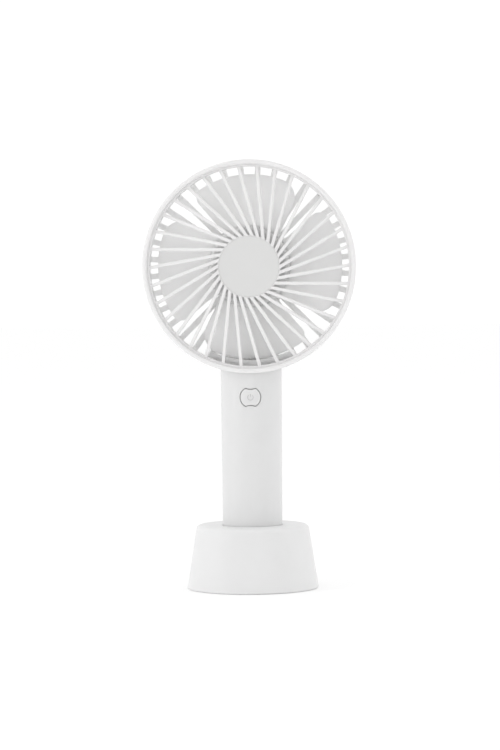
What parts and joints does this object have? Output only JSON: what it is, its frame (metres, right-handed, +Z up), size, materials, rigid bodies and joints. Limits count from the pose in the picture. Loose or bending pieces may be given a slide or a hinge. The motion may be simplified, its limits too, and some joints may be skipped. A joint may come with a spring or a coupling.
{
  "type": "handheld electric fan",
  "caption": "Battery-powered handheld fan with a round slatted grille, a four-bladed impeller and a round handle with a power button, standing in a conical desk stand.",
  "frame": {"origin": "bottom centre of the stand, on the table", "axes": "+Z up, the grille and the button face -Y, +X to the right seen from the front"},
  "size_m": [0.1032, 0.0642, 0.2087],
  "materials": {
    "shell_white": "fine satin moulded shell",
    "grille_white": "satin moulded grille",
    "disc_white": "smooth inlaid disc",
    "impeller_white": "satin moulded blades",
    "inner_white": "plain moulded inner part",
    "foot_rubber": "matt foam rubber",
    "steel": "zinc plated",
    "bronze": "copper and bronze motor parts",
    "magnet_black": "dark moulded or sintered",
    "board_green": "solder mask",
    "battery_wrap": "shrink sleeve",
    "lead_sleeve": "insulated wire"
  },
  "bodies": {
    "stand": {"stand_shell": "shell_white", "stand_floor": "inner_white", "stand_weight": "steel", "stand_foot": "foot_rubber", "stand_screws": "steel"},
    "fan": {"handle_shell": "shell_white", "handle_cap": "shell_white", "battery_cradle": "inner_white", "battery_cell": "battery_wrap", "battery_tabs": "steel", "battery_leads": "lead_sleeve", "main_board": "board_green", "board_screws": "steel", "switch_body": "magnet_black", "charge_board": "board_green", "charge_socket": "steel", "charge_tongue": "magnet_black", "charge_leads": "lead_sleeve", "front_grille": "grille_white", "hub_disc": "disc_white", "rear_grille": "grille_white", "rear_cap": "shell_white", "neck_screw": "steel", "motor_can": "steel", "motor_end_bell": "inner_white", "motor_magnets": "magnet_black", "motor_bushings": "bronze", "motor_brushes": "bronze", "motor_terminals": "bronze", "motor_screws": "steel", "motor_leads": "inner_white"},
    "impeller": {"impeller": "impeller_white", "motor_shaft": "steel", "motor_core": "steel", "motor_windings": "bronze", "motor_commutator": "bronze"},
    "button": {"power_button": "shell_white"},
    "plunger": {"switch_plunger": "magnet_black"}
  },
  "joints": [
    {"name": "fan_lift", "type": "slide", "parent": "stand", "child": "fan", "axis": [0, 0, 1], "range_m": [0, 0.04]},
    {"name": "impeller_spin", "type": "hinge", "parent": "fan", "child": "impeller", "pos_m": [0, 0, 0.1571], "axis": [0, -1, 0], "continuous": true},
    {"name": "button_press", "type": "slide", "parent": "fan", "child": "button", "axis": [0, 1, 0], "range_m": [0, 0.0005], "stiffness_N_per_m": 900, "springref_m": -0.0004},
    {"name": "switch_press", "type": "slide", "parent": "fan", "child": "plunger", "axis": [0, 1, 0], "range_m": [0, 0.0005]}
  ],
  "couplings": [
    {"joint": "switch_press", "follows": "button_press", "ratio": 1}
  ]
}
